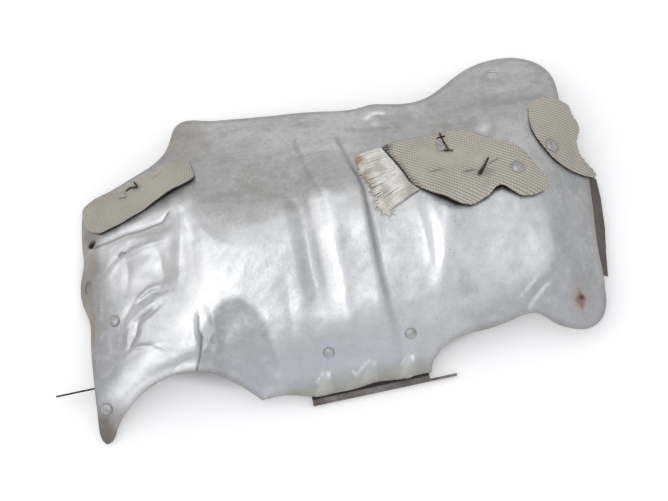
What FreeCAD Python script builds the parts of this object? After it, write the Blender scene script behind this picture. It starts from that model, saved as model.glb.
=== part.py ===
import FreeCAD, Part
import math
import os

# Turbocharger heat shield, all sizes in millimetres.
# X runs along the long side, Y from the front edge to the back edge, Z up.
# The open side is down and the rim rests on the ground.
# The origin is at the bottom centre of the whole part.

# overall driving sizes
shield_length = 355.0
shield_width = 214.0
dome_height = 56.0

# pressed sheet
sheet_thickness = 0.8
front_slope = 0.33
back_slope = 0.47
skirt_slope = 0.78
flange_slope = 0.70
end_wall_slope = 0.46
end_flange_slope = 1.5
right_wall_slope = 0.86
shoulder_blend = 16.0

# raised bead across the sheet
bead_height = 3.5
bead_width = 26.0
valley_depth = 2.5

# small pressed features
pip_height = 2.6
pip_radius = 8.5
arch_depth = 4.0
swelling_height = 2.2
dent_depth = 2.4
ledge_blend = 4.0
lip_height = 1.6

# openings in the sheet
pipe_cutout_radius = 61.0
ear_hole_diameter = 7.0
end_hole_diameter = 9.0
tear_length = 8.0
tear_width = 5.4

# rivets
rivet_diameter = 4.0
rivet_head_diameter = 7.6
rivet_head_height = 1.9
rivet_tail_diameter = 6.4
rivet_tail_height = 1.4
rivet_clearance = 0.15
seat_gap = 0.25

# steel pieces
steel_thickness = 1.2
bracket_gap = 0.7
front_bracket_left = -32.0
front_bracket_right = 64.0
end_tongue_reach = 25.0
end_tongue_depth = 4.5

# cloth patches
cloth_thickness = 1.5
cloth_gap = 0.5
middle_patch_lift = 4.0
left_patch_lift = 2.0
yarn_count = 15
yarn_width = 1.5
yarn_thickness = 1.0

# wire staples and metal tabs on the patches
wire_diameter = 1.1
tab_thickness = 0.6

kx = shield_length / 355.0
ky = shield_width / 214.0
kz = dome_height / 56.0


def soft_min(a, b, k):
    h = max(k - abs(a - b), 0.0) / k
    return min(a, b) - h * h * k / 4.0


def ramp(a, b, t):
    s = (t - a) / (b - a)
    s = max(0.0, min(1.0, s))
    return s * s * (3.0 - 2.0 * s)


def bell(t):
    s = max(0.0, 1.0 - t * t)
    return s * s


def bead_sides(y):
    """X of the left and right shoulder of the raised bead, which narrows to the back."""
    return -5.0 * ramp(35.0, 80.0, y), bead_width - 9.0 * ramp(35.0, 80.0, y)


def height(x, y):
    """Height of the outer face over the plan point x, y before scaling."""
    # the panels of the dome, joined by rounded folds
    front = 56.0 + front_slope * (y - 30.0)
    back = 56.0 - back_slope * (y - 30.0)
    skirt = 56.0 - 70.0 * front_slope + skirt_slope * (y + 40.0)
    flange = 56.0 - 58.0 * back_slope - flange_slope * (y - 88.0)
    end_wall = 43.0 + end_wall_slope * (x + 91.0) - 0.023 * (y - 58.0)
    back_corner = 43.0 + 0.50 * (x + 91.0) - 0.46 * (y - 58.0)
    end_flange = 16.5 + end_flange_slope * (x + 156.5 - 0.165 * y)
    right_wall = 47.0 - right_wall_slope * (x - 138.0 - 0.17 * y)
    tip = 15.0 + 0.75 * (y + 55.0) + 0.25 * (x + 160.0)
    z = soft_min(front, back, shoulder_blend)
    z = soft_min(z, skirt, 10.0)
    z = soft_min(z, flange, ledge_blend)
    z = soft_min(z, back_corner, 14.0)
    z = soft_min(z, end_wall, 13.0)
    z = soft_min(z, right_wall, 13.0)
    z = soft_min(z, end_flange, 11.0)
    z = soft_min(z, tip, 12.0)
    # past the rim the face runs out level, so that it never grows steep there
    z = -soft_min(-z, 9.0, 9.0)
    # bead from the front edge over the shoulder, with a valley on its left
    left, right = bead_sides(y)
    across = ramp(left - 9.0, left + 2.0, x) * (1.0 - ramp(right - 3.0, right + 5.0, x))
    along = ramp(-76.0, -52.0, y) * (1.0 - ramp(72.0, 84.0, y))
    z += bead_height * across * along
    z -= valley_depth * bell((x + 16.5) / 9.0) * ramp(-38.0, -10.0, y) * (1.0 - ramp(34.0, 48.0, y))
    # round pip by the back edge
    z += pip_height * bell(math.hypot(x - 50.0, y - 96.0) / pip_radius)
    # hollow arch over the pipe cut-out and the turned-up lip of the cut-out
    z -= arch_depth * bell(math.hypot((x + 79.0) / 30.0, (y + 38.0) / 34.0))
    from_pipe = math.hypot(x + 113.0, y + 112.5) - pipe_cutout_radius
    z += lip_height * (1.0 - ramp(0.0, 6.0, from_pipe)) * ramp(-166.0, -150.0, x)
    # swelling of the right panel
    z += swelling_height * bell(math.hypot((x - 66.0) / 34.0, (y + 8.0) / 50.0))
    # dents of the end wall
    z -= dent_depth * bell(math.hypot((x + 118.0) / 20.0, (y - 12.0) / 13.0))
    z += 0.8 * dent_depth * bell(math.hypot((x + 116.0) / 26.0, (y - 38.0) / 9.0))
    z -= 0.8 * dent_depth * bell(math.hypot((x + 122.0 + 0.3 * (y + 20.0)) / 18.0, (y + 24.0) / 12.0))
    return z


def on_face(x, y, off=0.0):
    """Point at the distance off outside the outer face."""
    e = 0.05
    sx = kz * (height(x + e, y) - height(x - e, y)) / (2.0 * e * kx)
    sy = kz * (height(x, y + e) - height(x, y - e)) / (2.0 * e * ky)
    n = math.sqrt(1.0 + sx * sx + sy * sy)
    return FreeCAD.Vector(kx * x - off * sx / n, ky * y - off * sy / n, kz * height(x, y) + off / n)


def face_normal(x, y, e=2.0):
    sx = kz * (height(x + e, y) - height(x - e, y)) / (2.0 * e * kx)
    sy = kz * (height(x, y + e) - height(x, y - e)) / (2.0 * e * ky)
    n = FreeCAD.Vector(-sx, -sy, 1.0)
    n.normalize()
    return n


def spread(stops, counts):
    """Values from stop to stop, each gap split into the given number of steps."""
    out = [stops[0]]
    for a, b, n in zip(stops[:-1], stops[1:], counts):
        out += [a + (b - a) * (i + 1) / float(n) for i in range(n)]
    return out


def layer(columns, rows, lower, upper):
    """Solid between two faces that follow the sheet at the distances lower and upper.

    columns gives X for a column number and Y, lower and upper may be functions of x and y.
    """
    def skin(off):
        grid = []
        for column in columns:
            line = []
            for y in rows:
                x = column(y)
                line.append(on_face(x, y, off(x, y) if callable(off) else off))
            grid.append(line)
        surface = Part.BSplineSurface()
        surface.interpolate(grid)
        return surface
    top = skin(upper)
    low = skin(lower)
    sides = []
    for name in ("uIso", "vIso"):
        b = top.bounds()
        ends = (b[0], b[1]) if name == "uIso" else (b[2], b[3])
        c = low.bounds()
        low_ends = (c[0], c[1]) if name == "uIso" else (c[2], c[3])
        for t, s in zip(ends, low_ends):
            upper_edge = getattr(top, name)(t).toShape()
            lower_edge = getattr(low, name)(s).toShape()
            sides.append(Part.makeRuledSurface(upper_edge, lower_edge))
    shell = Part.makeShell([top.toShape(), low.toShape()] + [f for f in sides])
    shell.sewShape()
    solid = Part.makeSolid(shell)
    if solid.Volume < 0:
        solid.reverse()
    return solid


def straight_columns(x0, x1, steps):
    return [(lambda y, v=v: v) for v in spread([x0, x1], [steps])]


def curve(points):
    """Smooth plan curve through the points."""
    line = Part.BSplineCurve()
    line.interpolate([FreeCAD.Vector(kx * x, ky * y, -60.0) for x, y in points])
    return line.toShape()


def segment(a, b):
    return Part.makeLine(FreeCAD.Vector(kx * a[0], ky * a[1], -60.0), FreeCAD.Vector(kx * b[0], ky * b[1], -60.0))


def prism(edges):
    wire = Part.Wire(Part.__sortEdges__(edges))
    return Part.Face(wire).extrude(FreeCAD.Vector(0, 0, 200.0))


def upright(x, y, radius):
    """Round cutter through the sheet, square to it at x, y."""
    n = face_normal(x, y)
    start = on_face(x, y) - n * 12.0
    return Part.makeCylinder(radius, 24.0, start, n)


# Outer shell, one pressed sheet
guides = [
    lambda y: -175.0 + 0.165 * y,
    lambda y: -156.5 + 0.165 * y,
    lambda y: -86.0 - 0.10 * y,
    lambda y: -27.0,
    lambda y: bead_sides(y)[0] - 10.0,
    lambda y: bead_sides(y)[0] + 3.0,
    lambda y: bead_sides(y)[1] - 4.0,
    lambda y: bead_sides(y)[1] + 6.0,
    lambda y: 66.0,
    lambda y: 128.0 + 0.10 * y,
    lambda y: 150.0 + 0.10 * y,
    lambda y: 196.0 + 0.05 * y,
]
steps = [4, 11, 8, 3, 4, 3, 4, 4, 8, 4, 6]
columns = []
for a in spread([float(i) for i in range(len(guides))], steps):
    i = min(int(a + 1e-6), len(guides) - 2)
    columns.append(lambda y, i=i, f=a - i: guides[i](y) + f * (guides[i + 1](y) - guides[i](y)))
rows = spread([-94.0, -50.0, -30.0, 14.0, 46.0, 82.0, 94.0, 136.0], [8, 4, 6, 5, 6, 4, 7])

back_edge = curve([
    (-80, 131.0), (-75, 132.6), (-63, 129.4), (-49, 125.6), (-25, 121.2), (2, 117), (22, 112.4), (35, 109.6),
    (43, 110.0), (50, 110.8), (58, 108.8), (67, 105.6), (79, 104.2), (90, 107.2), (101, 114), (113, 122.6),
    (124, 128.6), (139, 131.8), (153, 130.6), (164, 124.2), (171.6, 113), (174, 97), (172.7, 81),
])
right_edge = curve([
    (172.7, 81), (177, 70), (178.6, 60), (175.6, 49.5), (177, 40), (180, 32), (179.7, 22), (177.5, 5),
    (174.5, -14), (173, -30), (172.5, -42), (171, -51),
])
right_ear = curve([
    (171, -51), (169.6, -60), (165.5, -68), (159, -72.6), (151, -73.5), (143.5, -71.8), (136, -68.6), (129.5, -64.2),
    (123.5, -60), (116, -58.6), (105, -60.3), (88, -62.2),
    (73, -62.8), (63.5, -64.4), (55, -68.8), (50, -74.5), (47.5, -81.5),
])
front_edge = curve([(47.5, -81.5), (35, -82.6), (18, -82.4), (-4, -81.2), (-28, -78.0), (-50, -74.6), (-64, -74.8)])
cut_start = (-64.0, -74.8)
radius = pipe_cutout_radius
centre = (-113.0, -112.5)
arc = []
for a_deg in (48.0, 62.0, 78.0, 94.0, 110.0, 126.0, 139.0):
    a = math.radians(a_deg)
    arc.append((centre[0] + radius * math.cos(a), centre[1] + radius * math.sin(a)))
pipe_edge = curve([cut_start] + arc + [(-164.5, -78.6), (-168.0, -79.0)])
left_edge = curve([
    (-168.0, -79.0), (-170.4, -75), (-170.2, -66), (-168.9, -52), (-167.6, -34), (-165.4, -13), (-163.6, 1),
    (-164.8, 9), (-166.6, 19), (-166.2, 28), (-163.6, 37), (-160.8, 44), (-160.0, 54), (-158.6, 66), (-156.6, 77),
    (-154.0, 85.0),
])
corner_edge = curve([
    (-154.0, 85.0), (-146.0, 87.6), (-134, 89), (-119.4, 92), (-104.5, 96.5), (-95.5, 102.5), (-90, 111),
    (-86.8, 119.5), (-84, 126.4), (-80, 131.0),
])
outline = prism([back_edge, right_edge, right_ear, front_edge, pipe_edge, left_edge, corner_edge])
outer_shell = layer(columns, rows, -sheet_thickness, 0.0).common(outline)

rivets = {
    "rivet_end_upper": (-147.0, -5.5),
    "rivet_end_lower": (-163.0, -59.5),
    "rivet_front_left": (-16.0, -57.0),
    "rivet_front_right": (38.5, -56.0),
    "rivet_middle_patch": (128.5, 31.0),
    "rivet_right_patch": (160.0, 46.5),
}
hole_radius = rivet_diameter / 2.0 + rivet_clearance
for x, y in rivets.values():
    outer_shell = outer_shell.cut(upright(x, y, hole_radius))
ear_hole = (136.5, 116.5)
end_hole = (-160.5, 26.0)
outer_shell = outer_shell.cut(upright(ear_hole[0], ear_hole[1], ear_hole_diameter / 2.0))
outer_shell = outer_shell.cut(upright(end_hole[0], end_hole[1], end_hole_diameter / 2.0))
# four-sided tear where the long crease of the end wall runs out
tear = (-152.6, 53.8)
tear_corners = [
    (tear[0] + 0.5 * tear_width, tear[1] - 0.1 * tear_length),
    (tear[0] + 0.2 * tear_width, tear[1] + 0.5 * tear_length),
    (tear[0] - 0.5 * tear_width, tear[1] + 0.15 * tear_length),
    (tear[0] - 0.1 * tear_width, tear[1] - 0.5 * tear_length),
]
tear_edges = [segment(a, b) for a, b in zip(tear_corners, tear_corners[1:] + tear_corners[:1])]
outer_shell = outer_shell.cut(prism(tear_edges))


def laid(points, lower, upper, pitch=6.0, smooth=True):
    """Piece that follows the sheet between two distances, cut to a closed plan outline."""
    xs = [p[0] for p in points]
    ys = [p[1] for p in points]
    if smooth:
        line = Part.BSplineCurve()
        line.interpolate([FreeCAD.Vector(kx * x, ky * y, -60.0) for x, y in points], PeriodicFlag=True)
        edges = [line.toShape()]
    else:
        edges = [segment(a, b) for a, b in zip(points, points[1:] + points[:1])]
    cutter = prism(edges)
    # a grid line that falls on a corner of the outline can spoil the cut, so the next pitch is tried then
    for step in (pitch, 1.13 * pitch, 0.87 * pitch, 1.31 * pitch):
        nx = max(3, int(math.ceil((max(xs) - min(xs) + 6.0) / step)))
        ny = max(3, int(math.ceil((max(ys) - min(ys) + 6.0) / step)))
        grid_x = straight_columns(min(xs) - 3.1, max(xs) + 2.9, nx)
        grid_y = spread([min(ys) - 3.1, max(ys) + 2.9], [ny])
        piece = layer(grid_x, grid_y, lower, upper).common(cutter)
        if len(piece.Solids) == 1 and piece.isValid() and piece.Volume > 1.0:
            return piece.Solids[0]
    return piece


def rivet(x, y, seat, grip):
    """Domed head at the distance seat outside the sheet, set tail at the distance grip inside it."""
    head = rivet_head_diameter / 2.0
    shank = rivet_diameter / 2.0
    tail = rivet_tail_diameter / 2.0
    top = seat + rivet_head_height
    bottom = -grip - rivet_tail_height
    corners = [
        (0, top), (head * 0.45, top), (head * 0.82, seat + 0.6 * rivet_head_height), (head, seat),
        (shank, seat), (shank, -grip), (tail, -grip), (tail * 0.7, bottom), (0, bottom),
    ]
    profile = Part.makePolygon([FreeCAD.Vector(r, 0, z) for r, z in corners + corners[:1]])
    body = Part.Face(profile).revolve(FreeCAD.Vector(0, 0, 0), FreeCAD.Vector(0, 0, 1), 360)
    n = face_normal(x, y)
    body.Placement = FreeCAD.Placement(on_face(x, y), FreeCAD.Rotation(FreeCAD.Vector(0, 0, 1), n))
    return body


def bent_wire(points, off):
    """Square wire along plan points, its axis at the distance off outside the sheet."""
    spots = [on_face(x, y, off) for x, y in points]
    half = wire_diameter / 2.0
    body = None
    for a, b, spot in zip(spots[:-1], spots[1:], points):
        run = b - a
        length = run.Length
        run.normalize()
        side = face_normal(spot[0], spot[1]).cross(run)
        side.normalize()
        rise = run.cross(side)
        start = a - run * half
        corners = [start + side * i * half + rise * j * half for i, j in ((-1, -1), (1, -1), (1, 1), (-1, 1))]
        piece = Part.Face(Part.makePolygon(corners + corners[:1])).extrude(run * (length + wire_diameter))
        body = piece if body is None else body.fuse(piece)
    return body.removeSplitter()


# Front bracket, a folded steel strip under the skirt whose lip hangs below the rim
gap_in = (sheet_thickness + bracket_gap) * math.hypot(1.0, skirt_slope)
leg = steel_thickness * math.hypot(1.0, skirt_slope)


def skirt_line(y):
    return 56.0 - 70.0 * front_slope + skirt_slope * (y + 40.0)


lip_low = skirt_line(-83.6) - gap_in - 3.9
bracket_section = [
    (-50.0, skirt_line(-50.0) - gap_in),
    (-83.6, skirt_line(-83.6) - gap_in),
    (-82.3, lip_low),
    (-81.1, lip_low + 0.3),
    (-81.9, skirt_line(-81.9) - gap_in - leg),
    (-50.0, skirt_line(-50.0) - gap_in - leg),
]
tongue_section = [
    (-83.6, skirt_line(-83.6) - gap_in),
    (-82.8, skirt_line(-83.6) - gap_in - 2.4),
    (-81.5, skirt_line(-83.6) - gap_in - 2.1),
    (-82.0, skirt_line(-82.0) - gap_in - 0.2),
]


def bar(section, x0, x1):
    corners = [FreeCAD.Vector(kx * x0, ky * y, kz * z) for y, z in section]
    wire = Part.makePolygon(corners + corners[:1])
    return Part.Face(wire).extrude(FreeCAD.Vector(kx * (x1 - x0), 0, 0))


front_bracket = bar(bracket_section, front_bracket_left, 46.0)
front_bracket = front_bracket.fuse(bar(tongue_section, 40.0, front_bracket_right)).removeSplitter()

# End bracket, a steel strip inside the end wall with a tongue that sticks out to the left
inside = sheet_thickness + bracket_gap
end_strip = laid([
    (-140, 4), (-153, 4), (-157, -25), (-164, -50), (-167, -66), (-159, -66), (-153, -50), (-147, -28), (-140, -10),
], -inside - steel_thickness - 0.3, -inside - 0.3, 6.0, False)
rim_x = -169.0
stations = [rim_x + 2.0 * i for i in range(10)]
top_line = [(x, on_face(x, -44.0, -inside - 0.5 * steel_thickness - 0.3).z / kz - 0.5) for x in stations]
reach = rim_x - end_tongue_reach
under = top_line[0][1]
tongue = [(reach, under - 1.6), (reach + 2.5, under - 0.6), (rim_x - 2.0, under - 0.2)] + top_line
tongue += [(stations[-1], top_line[-1][1] - 5.0), (rim_x + 4.0, under - end_tongue_depth)]
tongue += [(rim_x - 6.0, under - end_tongue_depth), (reach, under - 3.2)]
corners = [FreeCAD.Vector(kx * x, ky * (-42.5 - 0.31 * z), kz * z) for x, z in tongue]
plate = Part.Face(Part.makePolygon(corners + corners[:1]))
plate = plate.extrude(FreeCAD.Vector(0, 0.95, 0.30) * steel_thickness)
end_bracket = end_strip.fuse(plate).removeSplitter()

# Edge strip, heat-stained steel that shows past the right edge of the sheet
edge_strip = laid([
    (152, 55), (166, 56), (171, 47), (175, 38), (182, 31.5), (186.6, 26.5), (186.4, 14), (183.8, -6.5), (179, -27.5),
    (176.5, -41), (166, -40), (168, -25), (170, -5), (171, 12), (166, 28), (158, 36), (151, 44),
], -inside - steel_thickness, -inside, 6.0, False)

# Cloth patches, laid on the sheet with their loose edges lifted off it
cloth_top = cloth_gap + cloth_thickness


def left_lift(x, y):
    return left_patch_lift * (1.0 - ramp(62.0, 74.0, y - 0.30 * (x + 100.0))) * ramp(-128.0, -96.0, x)


left_cloth_patch = laid([
    (-152.6, 83.6), (-154.6, 74), (-152.6, 65.5), (-147, 58.5), (-143, 56.8), (-134, 57.6), (-121, 59.8), (-108, 63.4),
    (-93, 68.2), (-80, 71.8), (-77.4, 75), (-78, 85), (-80.4, 92.4), (-87, 94.6), (-100, 89.6), (-116, 86.8),
    (-127, 84.4), (-140, 85.6),
], lambda x, y: cloth_gap + left_lift(x, y), lambda x, y: cloth_top + left_lift(x, y), 9.0)


def middle_lift(x, y):
    lift = 1.0 - ramp(12.0, 36.0, y)
    return middle_patch_lift * lift * ramp(62.0, 84.0, x) * (1.0 - 0.6 * ramp(104.0, 124.0, x))


middle_cloth_patch = laid([
    (48, 66.8), (54, 68.2), (64, 68.8), (79, 68.0), (91, 68.8), (98, 67.8), (104, 65.4), (116.4, 55.9),
    (129, 48), (135.4, 39.4), (141.5, 27.5), (144, 18.8), (141.4, 13), (134.1, 10.5), (126.6, 10.8), (121.2, 14.2),
    (115.5, 18.4), (110, 17.6), (103.4, 13.9), (92.5, 11.2), (83.8, 13.2), (75, 19.6), (67.4, 25.2), (60.5, 31.5),
    (57.2, 39.7), (54.2, 50), (51, 58.5),
], lambda x, y: cloth_gap + middle_lift(x, y), lambda x, y: cloth_top + middle_lift(x, y), 6.5)

right_cloth_patch = laid([
    (151.1, 78.4), (148, 70.6), (146.1, 62), (146, 53.6), (148.6, 45.7), (152.6, 38.8), (158, 33.4), (168, 28.2),
    (178, 26.2), (184, 26.8), (185, 29.8), (180, 36), (176.4, 42), (176, 50), (179.4, 56.4), (181, 63),
    (178.2, 69.5), (176.8, 76), (171, 80), (161, 81.6),
], cloth_gap, cloth_top, 9.0)

for name, seat in (("rivet_middle_patch", middle_lift), ("rivet_right_patch", None)):
    x, y = rivets[name]
    cutter = upright(x, y, hole_radius)
    if seat:
        middle_cloth_patch = middle_cloth_patch.cut(cutter)
    else:
        right_cloth_patch = right_cloth_patch.cut(cutter)
        edge_strip = edge_strip.cut(cutter)

for name in ("rivet_front_left", "rivet_front_right"):
    front_bracket = front_bracket.cut(upright(rivets[name][0], rivets[name][1], hole_radius))
for name in ("rivet_end_upper", "rivet_end_lower"):
    end_bracket = end_bracket.cut(upright(rivets[name][0], rivets[name][1], hole_radius))

# Frayed yarns at the left side of the middle patch
roots = [(44.6, 65.6), (48.6, 54.4), (52.0, 43.6), (54.6, 34.0), (59.6, 26.2)]
ends = [(28.1, 63.3), (27.6, 53.4), (29.7, 44.1), (32.0, 34.0), (34.0, 23.4), (37.9, 17.0)]


def along(points, t):
    s = t * (len(points) - 1)
    i = min(int(s), len(points) - 2)
    a, b = points[i], points[i + 1]
    return a[0] + (s - i) * (b[0] - a[0]), a[1] + (s - i) * (b[1] - a[1])


def yarn(root, end):
    """Tapered yarn that follows the sheet from its root to its frayed end."""
    low = cloth_gap + 0.15
    spots = []
    for k in range(4):
        f = k / 3.0
        x = root[0] + f * (end[0] - root[0])
        y = root[1] + f * (end[1] - root[1])
        spots.append((on_face(x, y, low), face_normal(x, y), 0.5 * yarn_width * (1.0 - 0.35 * f)))
    run = spots[-1][0] - spots[0][0]
    frames = []
    for spot, n, half in spots:
        side = n.cross(run)
        side.normalize()
        rise = run.cross(side)
        rise.normalize()
        rect = [spot - side * half, spot + side * half]
        rect += [spot + side * half + rise * yarn_thickness, spot - side * half + rise * yarn_thickness]
        frames.append(Part.makePolygon(rect + rect[:1]))
    return Part.makeLoft(frames, True, True)


yarns = []
for i in range(yarn_count):
    t = i / (yarn_count - 1.0)
    yarns.append(yarn(along(roots, t), along(ends, t)))
middle_patch_fringe = Part.makeCompound(yarns)

# Wire staples and lanced metal tabs that hold the cloth
on_cloth = cloth_top + 0.25 + wire_diameter / 2.0
middle_staple = bent_wire([(86.6, 68.2), (88.4, 51.6)], on_cloth)
middle_staple = middle_staple.fuse(bent_wire([(83.6, 64.2), (89.4, 64.6)], on_cloth))
middle_staple = middle_staple.fuse(bent_wire([(85.2, 52.0), (91.0, 50.6)], on_cloth)).removeSplitter()
second_staple = bent_wire([(112.4, 40.6), (108.0, 36.4), (104.2, 31.6)], on_cloth + 0.4)
left_staple = bent_wire([(-116.2, 86.0), (-114.4, 80.8), (-119.4, 82.6), (-122.4, 81.0)], on_cloth)
tab_low = cloth_top + 0.25
tab_high = tab_low + tab_thickness
middle_patch_tab = laid([(82.2, 61.6), (86.0, 62.0), (86.6, 54.0), (81.8, 53.6)], tab_low, tab_high, 4.0, False)
left_patch_tab = laid([(-129.6, 79.0), (-125.0, 82.4), (-123.6, 77.2)], tab_low, tab_high, 4.0, False)

pieces = {
    "outer_shell": outer_shell,
    "front_bracket": front_bracket,
    "end_bracket": end_bracket,
    "right_edge_strip": edge_strip,
    "left_cloth_patch": left_cloth_patch,
    "middle_cloth_patch": middle_cloth_patch,
    "right_cloth_patch": right_cloth_patch,
    "middle_patch_fringe": middle_patch_fringe,
    "middle_patch_staple": middle_staple,
    "middle_patch_second_staple": second_staple,
    "middle_patch_tab": middle_patch_tab,
    "left_patch_staple": left_staple,
    "left_patch_tab": left_patch_tab,
}

# Rivets, each with its head seated on what it holds and its tail set underneath
steel_grip = inside + steel_thickness + seat_gap
seats = {
    "rivet_end_upper": (seat_gap, steel_grip + 0.4),
    "rivet_end_lower": (seat_gap, steel_grip + 0.5),
    "rivet_front_left": (seat_gap, steel_grip + 0.3),
    "rivet_front_right": (seat_gap, steel_grip + 0.3),
    "rivet_middle_patch": (cloth_top + middle_lift(128.5, 31.0) + seat_gap, sheet_thickness + seat_gap),
    "rivet_right_patch": (cloth_top + seat_gap, steel_grip),
}
for name, (seat, grip) in seats.items():
    pieces[name] = rivet(rivets[name][0], rivets[name][1], seat, grip)

# The whole part moves so that its bottom centre is the origin
boxes = [shape.optimalBoundingBox(False) for shape in pieces.values()]
middle_x = 0.5 * (min(b.XMin for b in boxes) + max(b.XMax for b in boxes))
middle_y = 0.5 * (min(b.YMin for b in boxes) + max(b.YMax for b in boxes))
lowest = min(b.ZMin for b in boxes)
shift = FreeCAD.Vector(-middle_x, -middle_y, -lowest)

os.makedirs("parts", exist_ok=True)
for name, shape in pieces.items():
    shape.translate(shift)
    shape.exportStep("parts/" + name + ".step")
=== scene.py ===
import math

import bpy
import numpy as np
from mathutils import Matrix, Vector, geometry


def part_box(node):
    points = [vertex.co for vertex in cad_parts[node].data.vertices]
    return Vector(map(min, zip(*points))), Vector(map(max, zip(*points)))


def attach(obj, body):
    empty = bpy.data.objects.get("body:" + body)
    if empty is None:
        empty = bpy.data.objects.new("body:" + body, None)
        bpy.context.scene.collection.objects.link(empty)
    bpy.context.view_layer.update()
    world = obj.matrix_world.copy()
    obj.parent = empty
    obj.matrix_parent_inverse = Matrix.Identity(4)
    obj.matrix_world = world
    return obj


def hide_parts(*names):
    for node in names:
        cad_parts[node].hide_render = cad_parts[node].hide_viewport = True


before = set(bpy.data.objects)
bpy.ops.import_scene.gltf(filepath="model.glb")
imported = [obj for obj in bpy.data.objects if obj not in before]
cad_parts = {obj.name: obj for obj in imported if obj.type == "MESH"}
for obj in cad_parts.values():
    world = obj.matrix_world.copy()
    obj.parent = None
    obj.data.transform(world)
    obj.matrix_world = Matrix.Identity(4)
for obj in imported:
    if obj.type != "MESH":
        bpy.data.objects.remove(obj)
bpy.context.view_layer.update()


# Outer shell
# One pressed aluminium sheet, 0.8 mm thick, worn and dented, dulled by heat. The dome has a
# raised bead across it, a hollow over the round pipe cut-out and creased folds on its left end wall.
# Plan sizes below are millimetres in the CAD source's own axes; place() moves them to the frame.
MM = 0.001
SHEET = 0.8
bracket_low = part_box("front_bracket")[0]
bracket_left, bracket_front, bracket_bottom = -32.0, -83.6, -6.9105
origin = np.array([bracket_low.x / MM - bracket_left, bracket_low.y / MM - bracket_front, 0.0])
origin[2] = -bracket_bottom


def soft_min(a, b, k):
    h = np.maximum(k - np.abs(a - b), 0.0) / k
    return np.minimum(a, b) - h * h * k / 4.0


def ramp(a, b, t):
    s = np.clip((t - a) / (b - a), 0.0, 1.0)
    return s * s * (3.0 - 2.0 * s)


def bell(t):
    s = np.clip(1.0 - t * t, 0.0, None)
    return s * s


def hump(x, y, cx, cy, rx, ry):
    """1 at a plan point, falling smoothly to 0 on an ellipse round it."""
    return bell(np.hypot((x - cx) / rx, (y - cy) / ry))


CREST_Z, CREST_Y = 56.0, 30.0
SHOULDER_X, SHOULDER_Y, SHOULDER_Z = -91.0, 58.0, 43.0
BEAD_HEIGHT, BEAD_STEP = 3.8, 3.8
PIPE_X, PIPE_Y, PIPE_RADIUS = -113.0, -112.5, 61.0


def pressed(x, y):
    """Height of the sheet's outer face as it left the press: sloped panels blended by soft minima."""
    front = CREST_Z + 0.33 * (y - CREST_Y)
    back = CREST_Z - 0.47 * (y - CREST_Y)
    skirt = 32.9 + 0.78 * (y + 40.0)
    flange = 28.74 - 0.70 * (y - 88.0)
    end_wall = SHOULDER_Z + 0.46 * (x - SHOULDER_X) - 0.023 * (y - SHOULDER_Y)
    back_corner = SHOULDER_Z + 0.50 * (x - SHOULDER_X) - 0.46 * (y - SHOULDER_Y)
    end_flange = 16.5 + 1.5 * (x + 156.5 - 0.165 * y)
    right_wall = 47.0 - 0.86 * (x - 138.0 - 0.17 * y)
    tip = 15.0 + 0.75 * (y + 55.0) + 0.25 * (x + 160.0)
    z = soft_min(front, back, 16.0)
    for panel, blend in (
        (skirt, 4.5 + 5.5 * ramp(20.0, 70.0, x)), (flange, 4.0), (back_corner, 14.0), (end_wall, 13.0),
        (right_wall, 13.0), (end_flange, 11.0), (tip, 12.0),
    ):
        z = soft_min(z, panel, blend)
    z = -soft_min(-z, 9.0, 9.0)
    left = -5.0 * ramp(35.0, 80.0, y)
    right = 26.0 - 9.0 * ramp(35.0, 80.0, y)
    across = ramp(left - 16.0, left + 2.0, x) * (1.0 - ramp(right - 2.2, right + BEAD_STEP, x))
    z = z + BEAD_HEIGHT * across * ramp(-76.0, -46.0, y) * (1.0 - ramp(72.0, 84.0, y))
    z = z - 2.5 * bell((x + 16.5) / 9.0) * ramp(-38.0, -10.0, y) * (1.0 - ramp(34.0, 48.0, y))
    z = z + 2.6 * hump(x, y, 50.0, 96.0, 8.5, 8.5)
    z = z - 2.8 * (1.0 - ramp(0.55, 1.06, np.hypot((x + 69.0) / 21.0, (y + 49.0) / 36.0)))
    z = z - 1.4 * (1.0 - ramp(0.50, 1.10, np.hypot((x + 91.0) / 7.0, (y + 30.0) / 18.0)))
    from_pipe = np.hypot(x - PIPE_X, y - PIPE_Y) - PIPE_RADIUS
    z = z + 1.6 * (1.0 - ramp(0.0, 6.0, from_pipe)) * ramp(-166.0, -150.0, x)
    z = z + 2.2 * hump(x, y, 66.0, -8.0, 34.0, 50.0)
    z = z - 2.4 * hump(x, y, -118.0, 12.0, 20.0, 13.0)
    z = z + 1.92 * hump(x, y, -116.0, 38.0, 26.0, 9.0)
    return z - 1.92 * hump(x + 0.3 * (y + 20.0), y, -122.0, -24.0, 18.0, 12.0)


def line_distance(x, y, points):
    """Distance to a polyline and how far along it, from 0 to 1."""
    best = np.full(np.shape(x), 1e9)
    along = np.zeros(np.shape(x))
    count = len(points) - 1
    for i, ((ax, ay), (bx, by)) in enumerate(zip(points[:-1], points[1:])):
        dx, dy = bx - ax, by - ay
        t = np.clip(((x - ax) * dx + (y - ay) * dy) / (dx * dx + dy * dy), 0.0, 1.0)
        d = np.hypot(x - ax - t * dx, y - ay - t * dy)
        near = d < best
        best = np.where(near, d, best)
        along = np.where(near, (i + t) / count, along)
    return best, along


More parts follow.
